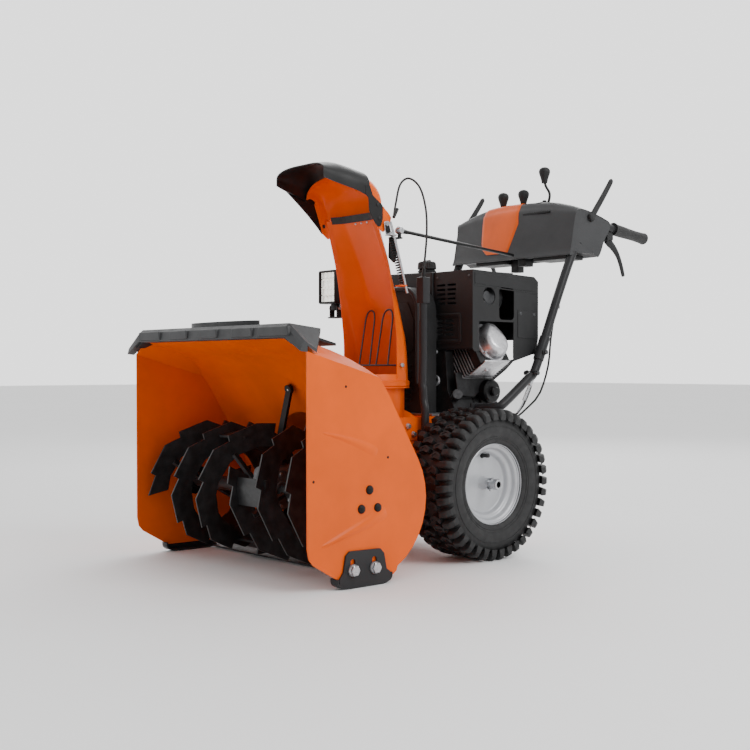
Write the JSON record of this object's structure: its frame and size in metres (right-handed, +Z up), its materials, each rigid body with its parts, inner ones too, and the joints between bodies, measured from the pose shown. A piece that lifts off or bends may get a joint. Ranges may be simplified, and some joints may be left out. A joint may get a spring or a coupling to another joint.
{
  "type": "two stage snowblower",
  "caption": "Walk-behind petrol snow thrower: serrated augers in a wide housing feed an impeller and a turning chute, with wheels, engine and handlebar console.",
  "frame": {"origin": "on the ground, under the middle of the whole machine", "axes": "+X to the operator's left, +Y backward to the handles, +Z up; the auger mouth faces -Y"},
  "size_m": [0.798, 1.4472, 1.135],
  "materials": {
    "orange_paint": "semi-gloss powder coat",
    "orange_plastic": "satin moulded",
    "black_paint": "satin powder coat",
    "grey_plastic": "fine moulded texture",
    "black_plastic": "fine moulded texture",
    "cast_alloy": "as cast",
    "lamp_alloy": "black coated casting",
    "zinc_steel": "zinc plated",
    "dark_steel": "oiled",
    "tyre": "moulded tread",
    "soft_rubber": "matt"
  },
  "bodies": {
    "frame": {"housing_back": "orange_paint", "housing_side_left": "orange_paint", "housing_side_right": "orange_paint", "impeller_drum": "orange_paint", "transmission_case": "orange_paint", "console_panel": "orange_plastic", "auger_bearing_left": "black_paint", "auger_bearing_right": "black_paint", "gearbox_brace": "black_paint", "support_post_left": "black_paint", "support_post_right": "black_paint", "handle_left": "black_paint", "handle_right": "black_paint", "top_cap": "grey_plastic", "console_shell": "grey_plastic", "engine_shroud": "black_plastic", "fuel_tank": "black_plastic", "belt_cover": "black_plastic", "auger_gearbox": "cast_alloy", "engine_plate": "cast_alloy", "engine_block": "cast_alloy", "valve_cover": "cast_alloy", "scraper_blade": "dark_steel", "muffler": "dark_steel", "drive_belt": "soft_rubber", "deflector_cable": "soft_rubber", "grip_left": "soft_rubber", "grip_right": "soft_rubber", "control_cables": "soft_rubber"},
    "augers": {"auger_shaft": "dark_steel", "auger_left": "black_paint", "auger_right": "black_paint"},
    "impeller": {"impeller": "black_paint", "impeller_shaft": "dark_steel"},
    "chute": {"chute": "orange_paint", "wire_guard": "dark_steel", "deflector_spring": "black_paint"},
    "deflector": {"deflector_hood": "orange_paint", "deflector_tip": "black_plastic"},
    "turning_rod": {"chute_rod": "black_paint"},
    "lamp": {"work_light": "lamp_alloy"},
    "wheel_left": {"tyre_left": "tyre", "rim_left": "zinc_steel", "axle_left": "zinc_steel"},
    "wheel_right": {"tyre_right": "tyre", "rim_right": "zinc_steel", "axle_right": "zinc_steel"},
    "paddle_left": {"clutch_paddle_left": "black_plastic"},
    "paddle_right": {"clutch_paddle_right": "black_plastic"},
    "trigger_left": {"trigger_left": "black_plastic"},
    "trigger_right": {"trigger_right": "black_plastic"},
    "speed_lever": {"speed_lever": "black_plastic"},
    "deflector_lever": {"deflector_lever": "black_plastic"},
    "chute_lever": {"chute_lever": "black_plastic"},
    "skid_left": {"skid_shoe_left": "black_paint"},
    "skid_right": {"skid_shoe_right": "black_paint"},
    "fuel_cap": {"fuel_cap": "black_plastic"},
    "recoil_handle": {"recoil_handle": "black_plastic"},
    "engine_pulley": {"engine_pulley": "dark_steel"},
    "clean_out_tool": {"clean_out_tool": "black_plastic"}
  },
  "joints": [
    {"name": "impeller_spin", "type": "hinge", "parent": "frame", "child": "impeller", "pos_m": [0, -0.22657, 0.235], "axis": [0, 1, 0], "continuous": true},
    {"name": "auger_spin", "type": "hinge", "parent": "frame", "child": "augers", "pos_m": [0, -0.51458, 0.197], "axis": [1, 0, 0], "continuous": true},
    {"name": "chute_turn", "type": "hinge", "parent": "frame", "child": "chute", "pos_m": [0, -0.19858, 0.47], "axis": [0, 0, 1], "range_deg": [-70, 70], "deforming": ["deflector_cable"]},
    {"name": "deflector_tilt", "type": "hinge", "parent": "chute", "child": "deflector", "pos_m": [0, -0.24058, 0.927], "axis": [1, 0, 0], "range_deg": [0, 50], "deforming": ["deflector_spring"]},
    {"name": "rod_swivel", "type": "hinge", "parent": "chute", "child": "turning_rod", "pos_m": [0.132, -0.19457, 0.884], "axis": [0, 0, 1], "range_deg": [-72, 72]},
    {"name": "lamp_tilt", "type": "hinge", "parent": "frame", "child": "lamp", "pos_m": [-0.207, -0.13858, 0.69], "axis": [1, 0, 0], "range_deg": [-24, 24]},
    {"name": "wheel_left_spin", "type": "hinge", "parent": "frame", "child": "wheel_left", "pos_m": [0.265, -0.02658, 0.203], "axis": [1, 0, 0], "continuous": true},
    {"name": "wheel_right_spin", "type": "hinge", "parent": "frame", "child": "wheel_right", "pos_m": [-0.265, -0.02658, 0.203], "axis": [1, 0, 0], "continuous": true},
    {"name": "paddle_left_squeeze", "type": "hinge", "parent": "frame", "child": "paddle_left", "pos_m": [0.268, 0.45543, 0.962], "axis": [1, 0, 0], "range_deg": [-45, 0], "stiffness_Nm_per_rad": 0.5, "springref_deg": 34.38},
    {"name": "paddle_right_squeeze", "type": "hinge", "parent": "frame", "child": "paddle_right", "pos_m": [-0.268, 0.45543, 0.962], "axis": [1, 0, 0], "range_deg": [-45, 0], "stiffness_Nm_per_rad": 0.5, "springref_deg": 34.38},
    {"name": "trigger_left_squeeze", "type": "hinge", "parent": "frame", "child": "trigger_left", "pos_m": [0.262, 0.53943, 0.905], "axis": [1, 0, 0], "range_deg": [0, 30], "stiffness_Nm_per_rad": 0.5, "springref_deg": -34.38},
    {"name": "trigger_right_squeeze", "type": "hinge", "parent": "frame", "child": "trigger_right", "pos_m": [-0.262, 0.53943, 0.905], "axis": [1, 0, 0], "range_deg": [0, 30], "stiffness_Nm_per_rad": 0.5, "springref_deg": -34.38},
    {"name": "speed_lever_swing", "type": "hinge", "parent": "frame", "child": "speed_lever", "pos_m": [-0.086, 0.45543, 0.94], "axis": [1, 0, 0], "range_deg": [-22, 22]},
    {"name": "deflector_lever_swing", "type": "hinge", "parent": "frame", "child": "deflector_lever", "pos_m": [0, 0.45543, 0.94], "axis": [1, 0, 0], "range_deg": [-22, 22]},
    {"name": "chute_lever_swing", "type": "hinge", "parent": "frame", "child": "chute_lever", "pos_m": [0.086, 0.45543, 0.94], "axis": [1, 0, 0], "range_deg": [-22, 22]},
    {"name": "skid_left_height", "type": "slide", "parent": "frame", "child": "skid_left", "axis": [0, 0, 1], "range_m": [-0.021, 0.011]},
    {"name": "skid_right_height", "type": "slide", "parent": "frame", "child": "skid_right", "axis": [0, 0, 1], "range_m": [-0.021, 0.011]},
    {"name": "fuel_cap_lift", "type": "slide", "parent": "frame", "child": "fuel_cap", "axis": [0, 0, 1], "range_m": [0, 0.035]},
    {"name": "recoil_pull", "type": "slide", "parent": "frame", "child": "recoil_handle", "axis": [0, 1, 0], "range_m": [0, 0.5], "stiffness_N_per_m": 25, "springref_m": -0.25},
    {"name": "engine_spin", "type": "hinge", "parent": "frame", "child": "engine_pulley", "pos_m": [0, -0.05158, 0.5], "axis": [0, 1, 0], "continuous": true},
    {"name": "clean_out_tool_lift", "type": "slide", "parent": "frame", "child": "clean_out_tool", "axis": [0, 0, 1], "range_m": [0, 0.2]}
  ],
  "couplings": [
    {"joint": "auger_spin", "follows": "impeller_spin", "ratio": 0.1},
    {"joint": "rod_swivel", "follows": "chute_turn", "ratio": -1},
    {"joint": "chute_lever_swing", "follows": "chute_turn", "ratio": 0.3},
    {"joint": "deflector_lever_swing", "follows": "deflector_tilt", "ratio": 0.4}
  ]
}
